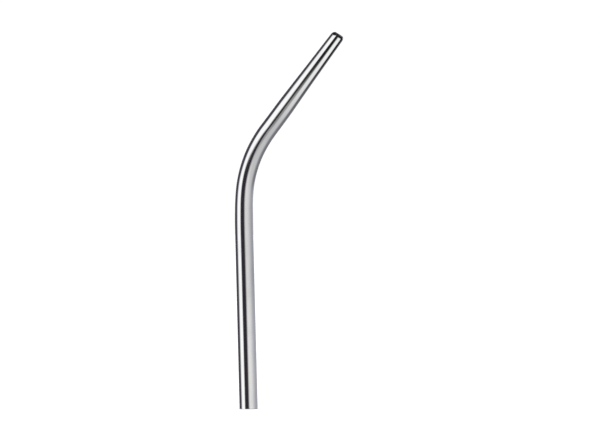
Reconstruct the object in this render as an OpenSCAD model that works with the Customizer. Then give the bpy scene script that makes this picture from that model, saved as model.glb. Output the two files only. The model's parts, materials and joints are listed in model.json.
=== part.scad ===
// Saliva ejector tip: a bent and tapered suction tube of polished stainless steel.
// It is built up from three pieces, each with a spigot that is brazed into the next
// one towards the hose, so the passage only widens along the flow.
// Sizes are millimetres. The origin is the middle of the hose end's face, +Z runs
// up the straight shank, and the tip leans towards +X.

/* [Shank] */
// Outside diameter of the shank, which a suction hose's socket takes
shank_d = 6.5; // [6:0.1:8]
// Thickness of the shank's wall
shank_wall = 0.5; // [0.4:0.05:0.6]
// Length from the hose end up to the neck, where the bend begins
shank_l = 71.5; // [40:0.5:100]
// Bevel left on both edges of the hose end when it is deburred
deburr = 0.15; // [0.05:0.05:0.15]
// Depth of the seat that the neck's spigot goes into
seat_l = 8; // [5:0.5:15]
// How much the seat is bored out beyond the shank's bore, on the radius
seat_step = 0.2; // [0.18:0.02:0.24]

/* [Neck] */
// How much smaller the neck is than the shank, on the radius
neck_step = 0.09; // [0.06:0.01:0.12]
// Thickness of the neck's wall
neck_wall = 0.75; // [0.65:0.05:0.8]
// Radius of the bend, measured to the middle of the tube
bend_r = 46; // [20:0.5:80]
// Angle that the bend turns the neck through
bend_angle = 38; // [10:1:75]
// Straight stretch past the bend, which takes the nozzle's spigot
land_l = 9.5; // [8:0.5:20]
// How much the ends are trued after bending: reamed inside and turned outside
truing = 0.03; // [0.02:0.01:0.05]

/* [Nozzle] */
// Length of the nozzle that shows past the neck
taper_l = 32.7; // [26:0.1:60]
// Length of its first stretch, where it narrows fastest
steep_l = 16; // [8:0.5:20]
// Outside diameter where that first stretch ends
steep_d = 5.4; // [5.2:0.1:5.8]
// Outside diameter at the tip
tip_d = 4.75; // [4.7:0.05:5]
// Thickness of the wall just behind the nose
nozzle_wall = 0.7; // [0.55:0.05:0.85]
// Length of the spigot that goes into the neck
spigot_l = 6; // [4:0.5:7]

/* [Nose] */
// Length of the nose, where the wall thickens round the opening
nose_l = 3; // [2:0.1:5]
// Radius that rounds the nose's outer edge
nose_round = 1; // [0.6:0.05:1]
// Diameter of the opening that the suction draws through
mouth_d = 2.2; // [1.8:0.1:2.2]
// Radius that rounds the edge of the opening
lip_round = 0.2; // [0.1:0.05:0.2]

/* [Hidden] */
$fn = 96;

// Gap round a spigot that the brazing metal fills
braze_gap = 0.03;
// Thickness of the nozzle's spigot
spigot_wall = 0.45;
// Bevel inside each spigot's end, which leads the flow out into the wider bore
lead_out = 0.25;
// How far a cutting shape runs past the face that it opens
past = 1;

shank_r = shank_d / 2;
bore_r = shank_r - shank_wall;
seat_r = bore_r + seat_step;

neck_r = shank_r - neck_step;
neck_bore_r = neck_r - neck_wall;
land_r = neck_r - truing;
reamed_r = neck_bore_r + truing;

spigot_r = reamed_r - braze_gap;
nozzle_bore_r = spigot_r - spigot_wall;
tip_r = tip_d / 2;
throat_r = tip_r - nozzle_wall;
mouth_r = mouth_d / 2;
throat_z = taper_l - nose_l;

steel = [0.8, 0.8, 0.81];

// Places its children on the leg past the bend: their origin is where the bend
// ends, and their +Z points to the tip.
module on_leg(along = 0) {
    translate([bend_r, 0, shank_l])
        rotate([0, bend_angle, 0])
            translate([-bend_r, 0, along])
                children();
}

// A solid round bar that follows the bend.
module bent_bar(r) {
    translate([bend_r, 0, shank_l])
        rotate([90, 0, 0])
            rotate([0, 0, 180 - bend_angle])
                rotate_extrude(angle = bend_angle)
                    translate([bend_r, 0])
                        circle(r = r);
}

// A ring with a 45 degree face, which bevels the outer edge at the foot of a bar
// of radius r.
module edge_bevel(r, size) {
    difference() {
        translate([0, 0, -past])
            cylinder(h = size + past, r = r + past);
        translate([0, 0, -past])
            cylinder(h = size + past, r1 = r - size - past, r2 = r);
    }
}

// A cone that bevels the foot of a bore of radius r.
module mouth_bevel(r, size) {
    translate([0, 0, -past])
        cylinder(h = size + past, r1 = r + size + past, r2 = r);
}

// Drawn tube, cut square and deburred at the hose end. Its upper end is bored out
// as the seat for the neck.
module shank_tube() {
    color(steel)
        difference() {
            cylinder(h = shank_l, r = shank_r);
            translate([0, 0, -past])
                cylinder(h = shank_l + 2 * past, r = bore_r);
            translate([0, 0, shank_l - seat_l])
                cylinder(h = seat_l + past, r = seat_r);
            edge_bevel(shank_r, deburr);
            mouth_bevel(bore_r, deburr);
        }
}

// Tube bent over a former, then trued at both ends. Its spigot fills the shank's
// seat, and its shoulder sits on the shank's end.
module bent_neck() {
    color(steel)
        difference() {
            union() {
                translate([0, 0, shank_l - seat_l])
                    cylinder(h = seat_l, r = seat_r - braze_gap);
                bent_bar(neck_r);
                on_leg()
                    cylinder(h = land_l, r = land_r);
            }
            translate([0, 0, shank_l - seat_l - past])
                cylinder(h = seat_l + past, r = reamed_r);
            bent_bar(neck_bore_r);
            on_leg()
                cylinder(h = land_l + past, r = reamed_r);
            translate([0, 0, shank_l - seat_l])
                mouth_bevel(reamed_r, lead_out);
        }
}

// Turned nozzle that carries the neck's line on to the tip, bored from behind as
// far as the nose. Its spigot fills the neck's end and its shoulder sits on it.
module taper_nozzle() {
    color(steel)
        on_leg(land_l)
            difference() {
                union() {
                    translate([0, 0, -spigot_l])
                        cylinder(h = spigot_l, r = spigot_r);
                    cylinder(h = steep_l, r1 = land_r, r2 = steep_d / 2);
                    translate([0, 0, steep_l])
                        cylinder(h = taper_l - nose_round - steep_l, r1 = steep_d / 2, r2 = tip_r);
                    nose_end();
                }
                translate([0, 0, -spigot_l - past])
                    cylinder(h = spigot_l + past, r = nozzle_bore_r);
                cylinder(h = throat_z, r1 = nozzle_bore_r, r2 = throat_r);
                translate([0, 0, throat_z])
                    cylinder(h = throat_r - mouth_r, r1 = throat_r, r2 = mouth_r);
                translate([0, 0, throat_z])
                    cylinder(h = nose_l + past, r = mouth_r);
                translate([0, 0, -spigot_l])
                    mouth_bevel(nozzle_bore_r, lead_out);
                translate([0, 0, taper_l - lip_round])
                    lip_cutter();
            }
}

// The rounded end of the nozzle: a ring of round section, filled in to the middle.
module nose_end() {
    translate([0, 0, taper_l - nose_round])
        rotate_extrude()
            translate([tip_r - nose_round, 0])
                circle(r = nose_round);
    translate([0, 0, taper_l - 2 * nose_round])
        cylinder(h = 2 * nose_round, r = tip_r - nose_round);
}

// What is cut away to round the edge of the opening: the ring between the bore and
// the end face, less a rim of round section.
module lip_cutter() {
    difference() {
        cylinder(h = lip_round + past, r = mouth_r + lip_round);
        rotate_extrude()
            translate([mouth_r + lip_round, 0])
                circle(r = lip_round);
    }
}

shank_tube();
bent_neck();
taper_nozzle();
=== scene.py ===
import json
import math

import bmesh
import bpy
from mathutils import Matrix, Vector


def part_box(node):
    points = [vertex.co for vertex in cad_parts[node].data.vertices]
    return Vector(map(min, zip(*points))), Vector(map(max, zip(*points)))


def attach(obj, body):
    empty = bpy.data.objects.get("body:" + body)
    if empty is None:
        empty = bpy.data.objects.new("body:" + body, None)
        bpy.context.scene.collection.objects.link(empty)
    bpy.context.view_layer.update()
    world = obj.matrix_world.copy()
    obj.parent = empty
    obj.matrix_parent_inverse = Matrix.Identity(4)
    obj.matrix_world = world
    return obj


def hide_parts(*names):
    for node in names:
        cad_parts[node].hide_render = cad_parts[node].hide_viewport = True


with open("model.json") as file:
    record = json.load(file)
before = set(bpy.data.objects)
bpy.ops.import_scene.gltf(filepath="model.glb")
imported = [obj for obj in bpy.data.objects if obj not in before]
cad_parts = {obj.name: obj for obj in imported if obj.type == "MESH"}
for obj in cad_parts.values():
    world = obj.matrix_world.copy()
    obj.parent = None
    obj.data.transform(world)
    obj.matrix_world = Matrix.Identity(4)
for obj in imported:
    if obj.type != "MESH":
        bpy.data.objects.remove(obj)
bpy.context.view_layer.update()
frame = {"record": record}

# Shank: the straight drawn tube of stainless steel that a suction hose's socket takes. It is cut
# square and deburred at the hose end, bored out at the top as the neck's seat, and polished.
MM = 0.001
mounts = {mount["name"]: mount for mount in frame["record"]["mounts"]}
shank_r = mounts["hose_end"]["dims"]["r_mm"]
bore_r = mounts["hose_bore"]["dims"]["r_mm"]
shank_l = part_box("shank_tube")[1].z / MM
seat_step = 0.2
seat_r = bore_r + seat_step
seat_l = 8.0
seat_floor = shank_l - seat_l
deburr = 0.15
deburr_steps = 6

# Polishing eases the shank's size into the neck's, over a few millimetres each side of their joint.
# The joint itself shows as a hairline only.
neck_step = 0.09
ease_l = 4.5
hairline = 0.008

# The bend isn't a true arc: the tube sprang back unevenly, and stands a little to either side of one.
bows = (
    # push towards the inside of the bend, height of its middle, reach each side
    (0.16, shank_l + 2.8, 6.0),
    (-0.06, shank_l + 19.5, 6.0),
    (0.07, shank_l + 35.5, 8.0),
)

# How finely a tube is meshed, how close a ring holds a rounded edge, and which edges stay crisp.
tube_sides = 128
ring_gap = 0.8
hold = 0.05
merge_gap = 0.0001
edge_match = 0.001
crisp_angle = math.radians(40)

# Outsides are bright from the wheel, with darker smears. Bores are left as the tool made them.
bright_steel = (0.775, 0.78, 0.778, 1)
smeared_tube = (0.735, 0.74, 0.742, 1)
gloss = 0.06
wheel_mark = 0.0005
dull_steel = (0.50, 0.50, 0.51, 1)
worn_steel = (0.66, 0.66, 0.67, 1)
tool_mark = 0.002


def eased(height, middle, reach):
    """Share of a smooth change that is done at a height, from reach below its middle to reach above."""
    share = min(max((height - middle + reach) / (2 * reach), 0), 1)
    return share * share * (3 - 2 * share)


def joint_outside(height):
    """Radius of the outside where the shank is polished down into the neck."""
    return shank_r - neck_step * eased(height, shank_l, ease_l)


def stops(low, high):
    """Heights from low to high, about one ring apart."""
    count = round((high - low) / ring_gap)
    return [low + (high - low) * index / count for index in range(count + 1)]


def turned(outline):
    """Spins an outline of (radius, height) corners, in millimetres, into a closed wall."""
    bm = bmesh.new()
    corners = [bm.verts.new((radius, 0, height)) for radius, height in outline]
    for start, end in zip(corners, corners[1:] + corners[:1]):
        bm.edges.new((start, end))
    bmesh.ops.spin(
        bm, geom=bm.verts[:] + bm.edges[:], cent=(0, 0, 0), axis=(0, 0, 1),
        angle=math.tau, steps=tube_sides, use_merge=True,
    )
    bmesh.ops.remove_doubles(bm, verts=bm.verts, dist=merge_gap)
    bmesh.ops.recalc_face_normals(bm, faces=bm.faces)
    return bm


def round_edge(bm, corner, size, segments):
    """Rounds the edge that runs round the tube at one (radius, height) corner of its outline."""
    radius, height = corner
    ring = [
        edge for edge in bm.edges
        if all(
            math.isclose(vert.co.xy.length, radius, abs_tol=edge_match)
            and math.isclose(vert.co.z, height, abs_tol=edge_match)
            for vert in edge.verts
        )
    ]
    bmesh.ops.bevel(
        bm, geom=ring, offset=size, offset_type="OFFSET", affect="EDGES",
        segments=segments, profile=0.5, material=-1,
    )


def hold_ring(bm, height):
    """Cuts a ring close to a rounded edge, so that its shading doesn't spread along the wall."""
    bmesh.ops.bisect_plane(
        bm, geom=bm.verts[:] + bm.edges[:] + bm.faces[:], plane_co=(0, 0, height), plane_no=(0, 0, 1),
    )


def ringed(bm):
    """Cuts the long faces into short rings, so that the wall can follow a bend."""
    bands = {}
    for edge in bm.edges:
        if edge.calc_length() > 1.5 * ring_gap:
            bands.setdefault(round(edge.calc_length(), 3), []).append(edge)
    for length, band in bands.items():
        bmesh.ops.subdivide_edges(bm, edges=band, cuts=round(length / ring_gap) - 1)


def bore_faces(bm):
    """Gives the faces that look towards the tube's axis the second material, the bore's."""
    for face in bm.faces:
        if face.normal.xy.dot(face.calc_center_median().xy) < 0:
            face.material_index = 1


def marked(bm):
    """Keeps each point's place before it is bent, in millimetres, for its material to follow."""
    place = bm.verts.layers.float_vector.new("place_as_made")
    for vert in bm.verts:
        vert[place] = vert.co


def rings_by_height(bm):
    """The points of a marked mesh, gathered by the height that they were made at."""
    place = bm.verts.layers.float_vector["place_as_made"]
    rings = {}
    for vert in bm.verts:
        rings.setdefault(round(vert[place].z, 4), []).append(vert)
    return rings


def bowed(bm):
    """Pushes the straight tube over where its bend will stand to either side of a true arc."""
    for height, ring in rings_by_height(bm).items():
        over = sum(push * math.exp(-((height - middle) / reach) ** 2) for push, middle, reach in bows)
        bmesh.ops.translate(bm, vec=(over, 0, 0), verts=ring)


def ready_to_bend(bm):
    """Takes a turned wall through the steps that every tube needs before it is bent."""
    ringed(bm)
    bore_faces(bm)
    marked(bm)
    bowed(bm)


def mesh_object(bm, name, materials):
    """Makes a mesh that was built in millimetres an object, in metres."""
    bmesh.ops.scale(bm, vec=(MM, MM, MM), verts=bm.verts)
    mesh = bpy.data.meshes.new(name)
    bm.to_mesh(mesh)
    bm.free()
    for material in materials:
        mesh.materials.append(material)
    made = bpy.data.objects.new(name, mesh)
    bpy.context.scene.collection.objects.link(made)
    return made


def tube_piece(bm, name, materials):
    """Makes a wall an object with smooth faces that stay crisp at real edges."""
    for face in bm.faces:
        face.smooth = True
    for edge in bm.edges:
        edge.smooth = edge.calc_face_angle() < crisp_angle
    return mesh_object(bm, name, materials)


def node(tree, kind, inputs=None, **settings):
    """A shader node. Each input is a socket, which is linked, or a value, which is set."""
    made = tree.nodes.new("ShaderNode" + kind)
    for name, value in settings.items():
        setattr(made, name, value)
    for name, value in (inputs or {}).items():
        if isinstance(value, bpy.types.NodeSocket):
            tree.links.new(value, made.inputs[name])
        else:
            made.inputs[name].default_value = value
    return made


def math_value(tree, operation, *values, **settings):
    """What a Math node makes of its inputs, which are given in their order."""
    made = node(tree, "Math", dict(enumerate(values)), operation=operation, **settings)
    return made.outputs["Value"]


def soft_step(tree, value, low, high):
    """Rises smoothly from 0 to 1 as a value goes from low to high."""
    ramp = node(
        tree, "MapRange", {"Value": value, "From Min": low, "From Max": high},
        interpolation_type="SMOOTHSTEP",
    )
    return ramp.outputs["Result"]


def blend(tree, share, first, second):
    """The colour that lies at a share of the way from the first to the second."""
    mixed = node(tree, "Mix", {"Factor": share, "A": first, "B": second}, data_type="RGBA")
    return mixed.outputs["Result"]


def place_as_made(tree):
    """Each point's place before it was bent, as its mesh keeps it."""
    return node(tree, "Attribute", attribute_name="place_as_made").outputs["Vector"]


def stretched_noise(tree, place, scale, detail):
    """Noise whose grain is 1 / scale millimetres long in x, y and along the tube."""
    spread = node(tree, "Mapping", {"Vector": place, "Scale": scale})
    noise = node(tree, "TexNoise", {"Vector": spread.outputs["Vector"], "Scale": 1, "Detail": detail})
    return noise.outputs["Fac"]


def polish_group():
    """Buffed steel: the wheel's rings, strokes along the tube, and scuffs and smears from handling."""
    stroke_dulling = 0.03
    smear_dulling = 0.035
    scuff_dulling = 0.1
    stroke_height = 0.6

    group = bpy.data.node_groups.new("polish", "ShaderNodeTree")
    group.interface.new_socket("Place", in_out="INPUT", socket_type="NodeSocketVector")
    group.interface.new_socket("Gloss Roughness", in_out="INPUT", socket_type="NodeSocketFloat")
    for name in ("Roughness", "Height", "Smear"):
        group.interface.new_socket(name, in_out="OUTPUT", socket_type="NodeSocketFloat")
    given = group.nodes.new("NodeGroupInput").outputs
    result = group.nodes.new("NodeGroupOutput").inputs

    wheel_rings = stretched_noise(group, given["Place"], scale=(0.25, 0.25, 9), detail=3)
    strokes = stretched_noise(group, given["Place"], scale=(4, 4, 0.08), detail=2)
    smears = stretched_noise(group, given["Place"], scale=(0.3, 0.3, 0.12), detail=4)
    scratches = stretched_noise(group, given["Place"], scale=(2.5, 5, 0.7), detail=2)
    smear = soft_step(group, smears, 0.42, 0.7)
    scuff = soft_step(group, scratches, 0.64, 0.73)
    streaked = math_value(group, "MULTIPLY_ADD", strokes, stroke_dulling, given["Gloss Roughness"])
    dulled = math_value(group, "MULTIPLY_ADD", smear, smear_dulling, streaked)
    rough = math_value(group, "MULTIPLY_ADD", scuff, scuff_dulling, dulled)
    height = math_value(group, "MULTIPLY_ADD", strokes, stroke_height, wheel_rings)
    group.links.new(rough, result["Roughness"])
    group.links.new(height, result["Height"])
    group.links.new(smear, result["Smear"])
    return group


polish = polish_group()


def bare_steel(name):
    """A metal that has no finish yet."""
    material = bpy.data.materials.new(name)
    material.use_nodes = True
    material.node_tree.nodes["Principled BSDF"].inputs["Metallic"].default_value = 1
    return material


def finish_steel(material, colour, roughness, marks, mark_depth):
    """Gives a metal its colour and roughness, and its marks as fine bump."""
    tree = material.node_tree
    shader = tree.nodes["Principled BSDF"]
    bump = node(tree, "Bump", {"Height": marks, "Distance": mark_depth * MM})
    tree.links.new(colour, shader.inputs["Base Color"])
    tree.links.new(roughness, shader.inputs["Roughness"])
    tree.links.new(bump.outputs["Normal"], shader.inputs["Normal"])


def polished_steel(name, smeared):
    """Steel from the polishing wheel: two close colours, with the wheel's marks."""
    material = bare_steel(name)
    tree = material.node_tree
    worked = node(
        tree, "Group", {"Place": place_as_made(tree), "Gloss Roughness": gloss}, node_tree=polish,
    ).outputs
    colour = blend(tree, worked["Smear"], bright_steel, smeared)
    finish_steel(material, colour, worked["Roughness"], worked["Height"], wheel_mark)
    return material


def bore_steel(name, mark_scale):
    """An inside as it was made: duller than the outside, with fine marks from the tool."""
    material = bare_steel(name)
    tree = material.node_tree
    lines = stretched_noise(tree, place_as_made(tree), scale=mark_scale, detail=3)
    colour = blend(tree, lines, dull_steel, worn_steel)
    rough = node(tree, "MapRange", {"Value": lines, "To Min": 0.25, "To Max": 0.42})
    finish_steel(material, colour, rough.outputs["Result"], lines, tool_mark)
    return material


drawn_bore = bore_steel("drawn_bore", mark_scale=(6, 6, 0.05))
tube_steel = polished_steel("tube_steel", smeared_tube)

hose_edge = (shank_r, 0)
hose_bore_edge = (bore_r, 0)
shank_top = [(joint_outside(height), height) for height in stops(shank_l - ease_l, shank_l)]
wall = turned([
    hose_bore_edge, hose_edge, *shank_top,
    (seat_r, shank_l), (seat_r, seat_floor), (bore_r, seat_floor),
])
round_edge(wall, hose_edge, deburr, segments=deburr_steps)
round_edge(wall, hose_bore_edge, deburr, segments=deburr_steps)
round_edge(wall, shank_top[-1], hairline, segments=1)
hold_ring(wall, deburr + hold)
ready_to_bend(wall)
shank = tube_piece(wall, "shank", [tube_steel, drawn_bore])
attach(shank, "root")
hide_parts("shank_tube")

# Neck: a slightly smaller tube of the same steel, bent over a former and trued at both ends. Its
# spigot is brazed into the shank's seat, and the joint is polished down to a hairline.
nose_axis = Vector(mounts["nose_mouth"]["axis"])
bend_angle = math.atan2(nose_axis.x, nose_axis.z)
bend_r = 46.0
bend_l = bend_r * bend_angle
bend_end = shank_l + bend_l
land_l = 9.5
neck_end = bend_end + land_l
neck_r = shank_r - neck_step
neck_wall = 0.75
neck_bore_r = neck_r - neck_wall
truing = 0.03
land_r = neck_r - truing
land_ease = 2.0
reamed_r = neck_bore_r + truing
braze_gap = 0.03
neck_spigot_r = seat_r - braze_gap
lead_out = 0.25

# Past its land the leg narrows. Polishing spreads the turn into the taper to both sides of the joint.
steep_l = 16.0
steep_r = 2.7
steep_slope = (land_r - steep_r) / steep_l
taper_ease = 3.0


def past_corner(distance, ease):
    """How far past a corner a point is, where the corner is eased over a length each side of it."""
    if distance > ease:
        return distance
    return max(distance + ease, 0) ** 2 / (4 * ease)


def neck_outside(height):
    """Radius of the neck's polished outside, eased into the shank, the trued land and the taper."""
    trued = truing * eased(height, bend_end, land_ease)
    narrowed = steep_slope * past_corner(height - neck_end, taper_ease)
    return joint_outside(height) - trued - narrowed


def bent(bm):
    """Bends a straight tube over the former: its rings turn one by one about the former's centre."""
    to_former = Matrix.Translation((bend_r, 0, shank_l))
    for height, ring in rings_by_height(bm).items():
        along = min(max(height - shank_l, 0), bend_l)
        turn = to_former @ Matrix.Rotation(along / bend_r, 4, "Y") @ to_former.inverted()
        bmesh.ops.transform(bm, matrix=turn @ Matrix.Translation((0, 0, -along)), verts=ring)


neck_side = [(neck_outside(height), height) for height in stops(shank_l, neck_end)]
spigot_bore_edge = (reamed_r, seat_floor)
wall = turned([
    spigot_bore_edge, (neck_spigot_r, seat_floor), (neck_spigot_r, shank_l), *neck_side,
    (reamed_r, neck_end), (reamed_r, bend_end), (neck_bore_r, bend_end),
    (neck_bore_r, shank_l), (reamed_r, shank_l),
])
round_edge(wall, spigot_bore_edge, lead_out, segments=1)
round_edge(wall, neck_side[0], hairline, segments=1)
round_edge(wall, neck_side[-1], hairline, segments=1)
ready_to_bend(wall)
bent(wall)
neck = tube_piece(wall, "neck", [tube_steel, drawn_bore])
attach(neck, "root")
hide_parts("bent_neck")

# Nozzle: turned from steel bar and bored from behind, narrowing fast and then slowly to a rounded
# nose with a small mouth. Its spigot is brazed into the neck's end, and the joint is polished flush.
taper_l = 32.7
steep_end = neck_end + steep_l
steep_ease = 4.0
nose_end = neck_end + taper_l
tip_r = 2.375
nozzle_wall = 0.7
throat_r = tip_r - nozzle_wall
nose_l = 3.0
throat_z = nose_end - nose_l
mouth_r = mounts["nose_mouth"]["dims"]["r_mm"]
lip_round = 0.2
lip_steps = 8
nozzle_spigot_l = 6.0
nozzle_spigot_r = reamed_r - braze_gap
spigot_wall = 0.45
nozzle_bore_r = nozzle_spigot_r - spigot_wall
smeared_nozzle = (0.745, 0.75, 0.75, 1)

# Polishing draws the nose's rounding out along the leg, and leaves its end a little out of square.
nose_round = 1.0
nose_drawn = 1.6
nose_start = nose_end - nose_drawn
nose_steps = 24
nose_skew = math.radians(4)
slow_slope = (steep_r - tip_r) / (taper_l - nose_round - steep_l)

nozzle_steel = polished_steel("nozzle_steel", smeared_nozzle)
drilled_bore = bore_steel("drilled_bore", mark_scale=(0.3, 0.3, 12))


def nozzle_outside(height):
    """Radius of the nozzle's polished outside, which narrows fast and then slowly."""
    fast = steep_slope * past_corner(height - neck_end, taper_ease)
    slower = (steep_slope - slow_slope) * past_corner(height - steep_end, steep_ease)
    return land_r - fast + slower


def skewed(bm):
    """Leaves the nose's end out of square, longer on the inside of the bend."""
    for height, ring in rings_by_height(bm).items():
        turn = Matrix.Rotation(-nose_skew * eased(height, nose_start, nose_drawn), 3, "Y")
        bmesh.ops.rotate(bm, cent=(mouth_r, 0, height), matrix=turn, verts=ring)


nozzle_side = [(nozzle_outside(height), height) for height in stops(neck_end, nose_start - hold)]
nose_turn = []
for step in range(nose_steps + 1):
    angle = math.pi / 2 * step / nose_steps
    height = nose_start + nose_drawn * math.sin(angle)
    nose_turn.append((nozzle_outside(height) - nose_round * (1 - math.cos(angle)), height))
mouth_edge = (mouth_r, nose_end)
spigot_end = neck_end - nozzle_spigot_l
nozzle_bore_edge = (nozzle_bore_r, spigot_end)
wall = turned([
    nozzle_bore_edge, (nozzle_spigot_r, spigot_end), (nozzle_spigot_r, neck_end),
    *nozzle_side, *nose_turn, mouth_edge,
    (mouth_r, throat_z + throat_r - mouth_r), (throat_r, throat_z), (nozzle_bore_r, neck_end),
])
round_edge(wall, nozzle_bore_edge, lead_out, segments=1)
round_edge(wall, nozzle_side[0], hairline, segments=1)
round_edge(wall, mouth_edge, lip_round, segments=lip_steps)
hold_ring(wall, nose_end - lip_round - hold)
ready_to_bend(wall)
skewed(wall)
bent(wall)
nozzle = tube_piece(wall, "nozzle", [nozzle_steel, drilled_bore])
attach(nozzle, "root")
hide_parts("taper_nozzle")

# Floor: a wide sheet, painted a matt white, that the tube stands on. It takes the tube's soft shadow,
# but the steel mirrors the studio and not the sheet.
floor_half = 20000.0
floor_white = (0.95, 0.95, 0.95, 1)


def staged_sheet(bm, name, material):
    """Makes a sheet that isn't part of the tube an object, in metres."""
    made = mesh_object(bm, name, [material])
    return made


floor_paint = bpy.data.materials.new("floor_paint")
floor_paint.use_nodes = True
floor_shader = floor_paint.node_tree.nodes["Principled BSDF"]
floor_shader.inputs["Base Color"].default_value = floor_white
floor_shader.inputs["Roughness"].default_value = 1
floor_shader.inputs["Specular IOR Level"].default_value = 0
sheet = bmesh.new()
bmesh.ops.create_grid(sheet, x_segments=1, y_segments=1, size=floor_half)
floor = staged_sheet(sheet, "floor", floor_paint)
floor.visible_glossy = False

# Studio: white all round for the floor and the view, with soft panels that only the steel mirrors.
# Angles are degrees: across from straight behind the camera, to the right, and up from level.
room_light = 1.25
view_light = 1.03
dark_light = 0.03
white = Vector((1, 1, 1))
pale = Vector((1, 1, 0.96))
warm = Vector((1.07, 1.03, 0.92))
cool = Vector((0.96, 0.98, 1.07))
dusk = Vector((1.03, 0.9, 1.2))
panels = (
    # left, softness, right, softness, low, softness, high, softness, light, tint
    # White stripe on the left of the shank, then of the bend and the leg.
    (-93, 14, -46, 8, -75, 6, 16, 6, 1.2, white),
    (-88, 12, -10, 9, 16, 6, 42, 4, 1.2, white),
    # Dark line along the left outline.
    (-190, 6, -110, 12, -14, 6, 50, 6, 0.05, dusk),
    # Grey right side of the shank, then of the bend.
    (8, 12, 73, 40, -7, 5, 6, 4, 0.47, warm),
    (8, 12, 172, 6, -7, 5, 6, 4, 0.45, cool),
    (16, 11, 86, 24, -44, 12, -7, 5, 0.44, pale),
    (16, 11, 172, 6, -44, 12, -7, 5, 0.2, cool),
    # Low and high behind, for the backs of the shank and the leg.
    (-176, 8, -112, 10, -70, 6, -10, 4, 0.9, white),
    (-250, 8, -108, 12, 45, 5, 80, 6, 0.9, white),
    (-225, 12, -158, 12, 30, 6, 44, 6, 0.5, white),
    # To the right and behind, for the nose's face.
    (84, 10, 176, 10, 10, 5, 52, 6, 0.15, white),
    # Straight above and below.
    (-240, 6, 240, 6, 83, 3, 100, 6, 0.9, white),
    (-240, 6, 240, 6, -100, 6, -62, 6, 0.5, white),
)


def panel_group():
    """How much of a soft panel lies at a place, given by how far across and up it is."""
    group = bpy.data.node_groups.new("soft_panel", "ShaderNodeTree")
    sides = [name for side in ("Left", "Right", "Low", "High") for name in (side, side + " Softness")]
    for name in ("Across", "Up", *sides):
        group.interface.new_socket(name, in_out="INPUT", socket_type="NodeSocketFloat")
    group.interface.new_socket("Share", in_out="OUTPUT", socket_type="NodeSocketFloat")
    given = group.nodes.new("NodeGroupInput").outputs
    result = group.nodes.new("NodeGroupOutput").inputs

    def past(value, edge, softness):
        reach = math_value(group, "DIVIDE", math_value(group, "SUBTRACT", value, edge), softness)
        return soft_step(group, reach, -1, 1)

    wide = math_value(
        group, "MULTIPLY",
        past(given["Across"], given["Left"], given["Left Softness"]),
        past(given["Right"], given["Across"], given["Right Softness"]),
    )
    tall = math_value(
        group, "MULTIPLY",
        past(given["Up"], given["Low"], given["Low Softness"]),
        past(given["High"], given["Up"], given["High Softness"]),
    )
    group.links.new(math_value(group, "MULTIPLY", wide, tall), result["Share"])
    return group


soft_panel = panel_group()


def panel_share(tree, across, up, edges):
    """Places a soft panel. Its edges are left, right, low and high, each followed by its softness."""
    placed = node(tree, "Group", dict(enumerate((across, up, *edges))), node_tree=soft_panel)
    return placed.outputs["Share"]


def add_light(tree, share, light, base):
    """Adds a light, where its panel has a share, to what is there already."""
    added = node(tree, "VectorMath", {0: share, 1: light, 2: base}, operation="MULTIPLY_ADD")
    return added.outputs["Vector"]


def degrees_across(tree, direction):
    """Angle of a direction, to the right from straight towards the camera."""
    towards_camera = math_value(tree, "MULTIPLY", direction["Y"], -1)
    return math_value(tree, "DEGREES", math_value(tree, "ARCTAN2", direction["X"], towards_camera))


studio = bpy.data.worlds.new("studio")
studio.use_nodes = True
bpy.context.scene.world = studio
tree = studio.node_tree
direction = node(tree, "SeparateXYZ", {"Vector": node(tree, "TexCoord").outputs["Generated"]}).outputs
across = degrees_across(tree, direction)
up = math_value(tree, "DEGREES", math_value(tree, "ARCSINE", direction["Z"]))
mirrored = dark_light * dusk
for *edges, light, tint in panels:
    share = panel_share(tree, across, up, edges)
    mirrored = add_light(tree, share, light * tint, mirrored)
ray = node(tree, "LightPath").outputs
room = node(
    tree, "Mix", {"Factor": ray["Is Camera Ray"], "A": room_light, "B": view_light}, data_type="FLOAT",
)
shown = blend(tree, ray["Is Glossy Ray"], room.outputs["Result"], mirrored)
tree.links.new(shown, tree.nodes["Background"].inputs["Color"])
bpy.context.scene.view_settings.view_transform = "Standard"

# Fill card: a dark sheet with a lit strip, curved round the right of the tube from the upper shank to
# past the nose. Only the steel mirrors it. It starts as a faint veil and thickens along the leg, and
# its angles run as the studio's do.
card_light = 1.12
cloth_light = 0.012
veil_cover = 0.12
card_r = 40.0
card_left = -34
card_right = 164
card_foot = shank_l - 50
card_top = bend_end + 92
card_steps = 32
strip_lean = 0.27
strip_middle = bend_end + 24

# Edges of the veil, the whole sheet and the strip: left, right, low and high, each with its softness.
veil_edges = (2, 10, 150, 12, shank_l - 34, 12, shank_l + 8, 7)
sheet_edges = (-27, 6, 122, 8, bend_end + 18, 20, bend_end + 86, 4)
strip_edges = (25, 12, 79, 10, bend_end - 4, 4, bend_end + 55, 3)


def glowing_cloth(name):
    """A cloth that has no shader yet, for cards that only glow."""
    material = bpy.data.materials.new(name)
    material.use_nodes = True
    material.node_tree.nodes.remove(material.node_tree.nodes["Principled BSDF"])
    return material


def mirrored_only(card):
    """Hides a card from everything but the steel's reflections."""
    card.visible_camera = False
    card.visible_diffuse = False
    card.visible_shadow = False


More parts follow.
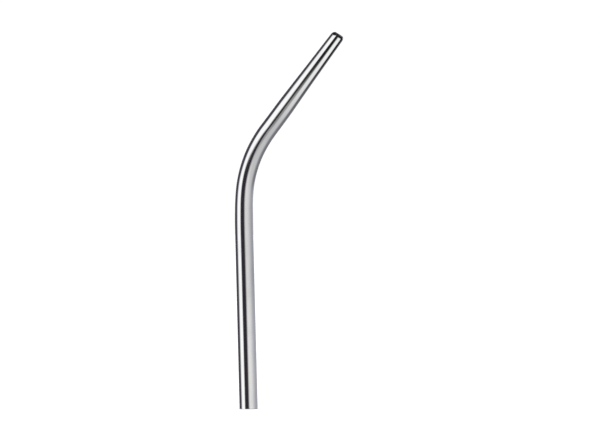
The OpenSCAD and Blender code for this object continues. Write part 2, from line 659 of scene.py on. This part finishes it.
card_cloth = glowing_cloth("card_cloth")
tree = card_cloth.node_tree
place = node(tree, "SeparateXYZ", {"Vector": place_as_made(tree)}).outputs
across = degrees_across(tree, place)
veil = panel_share(tree, across, place["Z"], veil_edges)
whole = panel_share(tree, across, place["Z"], sheet_edges)
cover = math_value(tree, "MULTIPLY_ADD", veil, veil_cover, whole, use_clamp=True)
above = math_value(tree, "SUBTRACT", place["Z"], strip_middle)
leaning = math_value(tree, "MULTIPLY_ADD", above, strip_lean, across)
strip = panel_share(tree, leaning, place["Z"], strip_edges)
glow = add_light(tree, strip, card_light * white, cloth_light * dusk)
lit = node(tree, "Emission", {"Color": glow}).outputs["Emission"]
clear = node(tree, "BsdfTransparent").outputs["BSDF"]
hung = node(tree, "MixShader", {0: cover, 1: clear, 2: lit})
tree.links.new(hung.outputs["Shader"], tree.nodes["Material Output"].inputs["Surface"])

sheet = bmesh.new()
corners = [sheet.verts.new((0, -card_r, height)) for height in stops(card_foot, card_top)]
for start, end in zip(corners, corners[1:]):
    sheet.edges.new((start, end))
bmesh.ops.rotate(
    sheet, cent=(0, 0, 0), matrix=Matrix.Rotation(math.radians(card_left), 3, "Z"), verts=sheet.verts,
)
bmesh.ops.spin(
    sheet, geom=sheet.verts[:] + sheet.edges[:], cent=(0, 0, 0), axis=(0, 0, 1),
    angle=math.radians(card_right - card_left), steps=card_steps,
)
marked(sheet)
bent(sheet)
mirrored_only(staged_sheet(sheet, "fill_card", card_cloth))

# Flag: a small card of the same dark cloth, hung behind the nose and to its left. It shades the
# rounded end from the lights above, and only the steel mirrors it.
flag_w = 30.0
flag_h = 21.0
flag_middle = (-16, 11, nose_end + 12)

flag_cloth = glowing_cloth("flag_cloth")
tree = flag_cloth.node_tree
glow = node(tree, "Emission", {"Color": (*dusk, 1), "Strength": cloth_light})
tree.links.new(glow.outputs["Emission"], tree.nodes["Material Output"].inputs["Surface"])

sheet = bmesh.new()
bmesh.ops.create_grid(sheet, x_segments=1, y_segments=1, size=0.5)
bmesh.ops.scale(sheet, vec=(flag_h, flag_w, 1), verts=sheet.verts)
bmesh.ops.rotate(sheet, cent=(0, 0, 0), matrix=Matrix.Rotation(math.pi / 2, 3, "Y"), verts=sheet.verts)
bmesh.ops.translate(sheet, vec=flag_middle, verts=sheet.verts)
marked(sheet)
bent(sheet)
mirrored_only(staged_sheet(sheet, "flag", flag_cloth))

# Camera: level with the tube's middle and square to the bend, and far enough back to show almost no
# perspective. It is rolled a little, so that the shank leans left as it does in the photo.
image_w = 600
image_h = 424
foot_px = Vector((248.65, 409.0))
shank_lean = math.radians(1.45)
mm_per_px = 0.3572
distance = 2500.0
sensor_w = 36
view_depth = 100

from_foot = (Vector((image_w, image_h)) / 2 - foot_px) * mm_per_px
right = from_foot.x
upward = -from_foot.y
view_x = right * math.cos(shank_lean) + upward * math.sin(shank_lean)
view_z = upward * math.cos(shank_lean) - right * math.sin(shank_lean)
lens = bpy.data.cameras.new("camera")
lens.sensor_width = sensor_w
lens.lens = sensor_w * distance / (image_w * mm_per_px)
lens.clip_end = view_depth
camera = bpy.data.objects.new("camera", lens)
camera.matrix_world = (
    Matrix.Translation(Vector((view_x, -distance, view_z)) * MM)
    @ Matrix.Rotation(math.pi / 2, 4, "X")
    @ Matrix.Rotation(-shank_lean, 4, "Z")
)
bpy.context.scene.collection.objects.link(camera)
bpy.context.scene.camera = camera
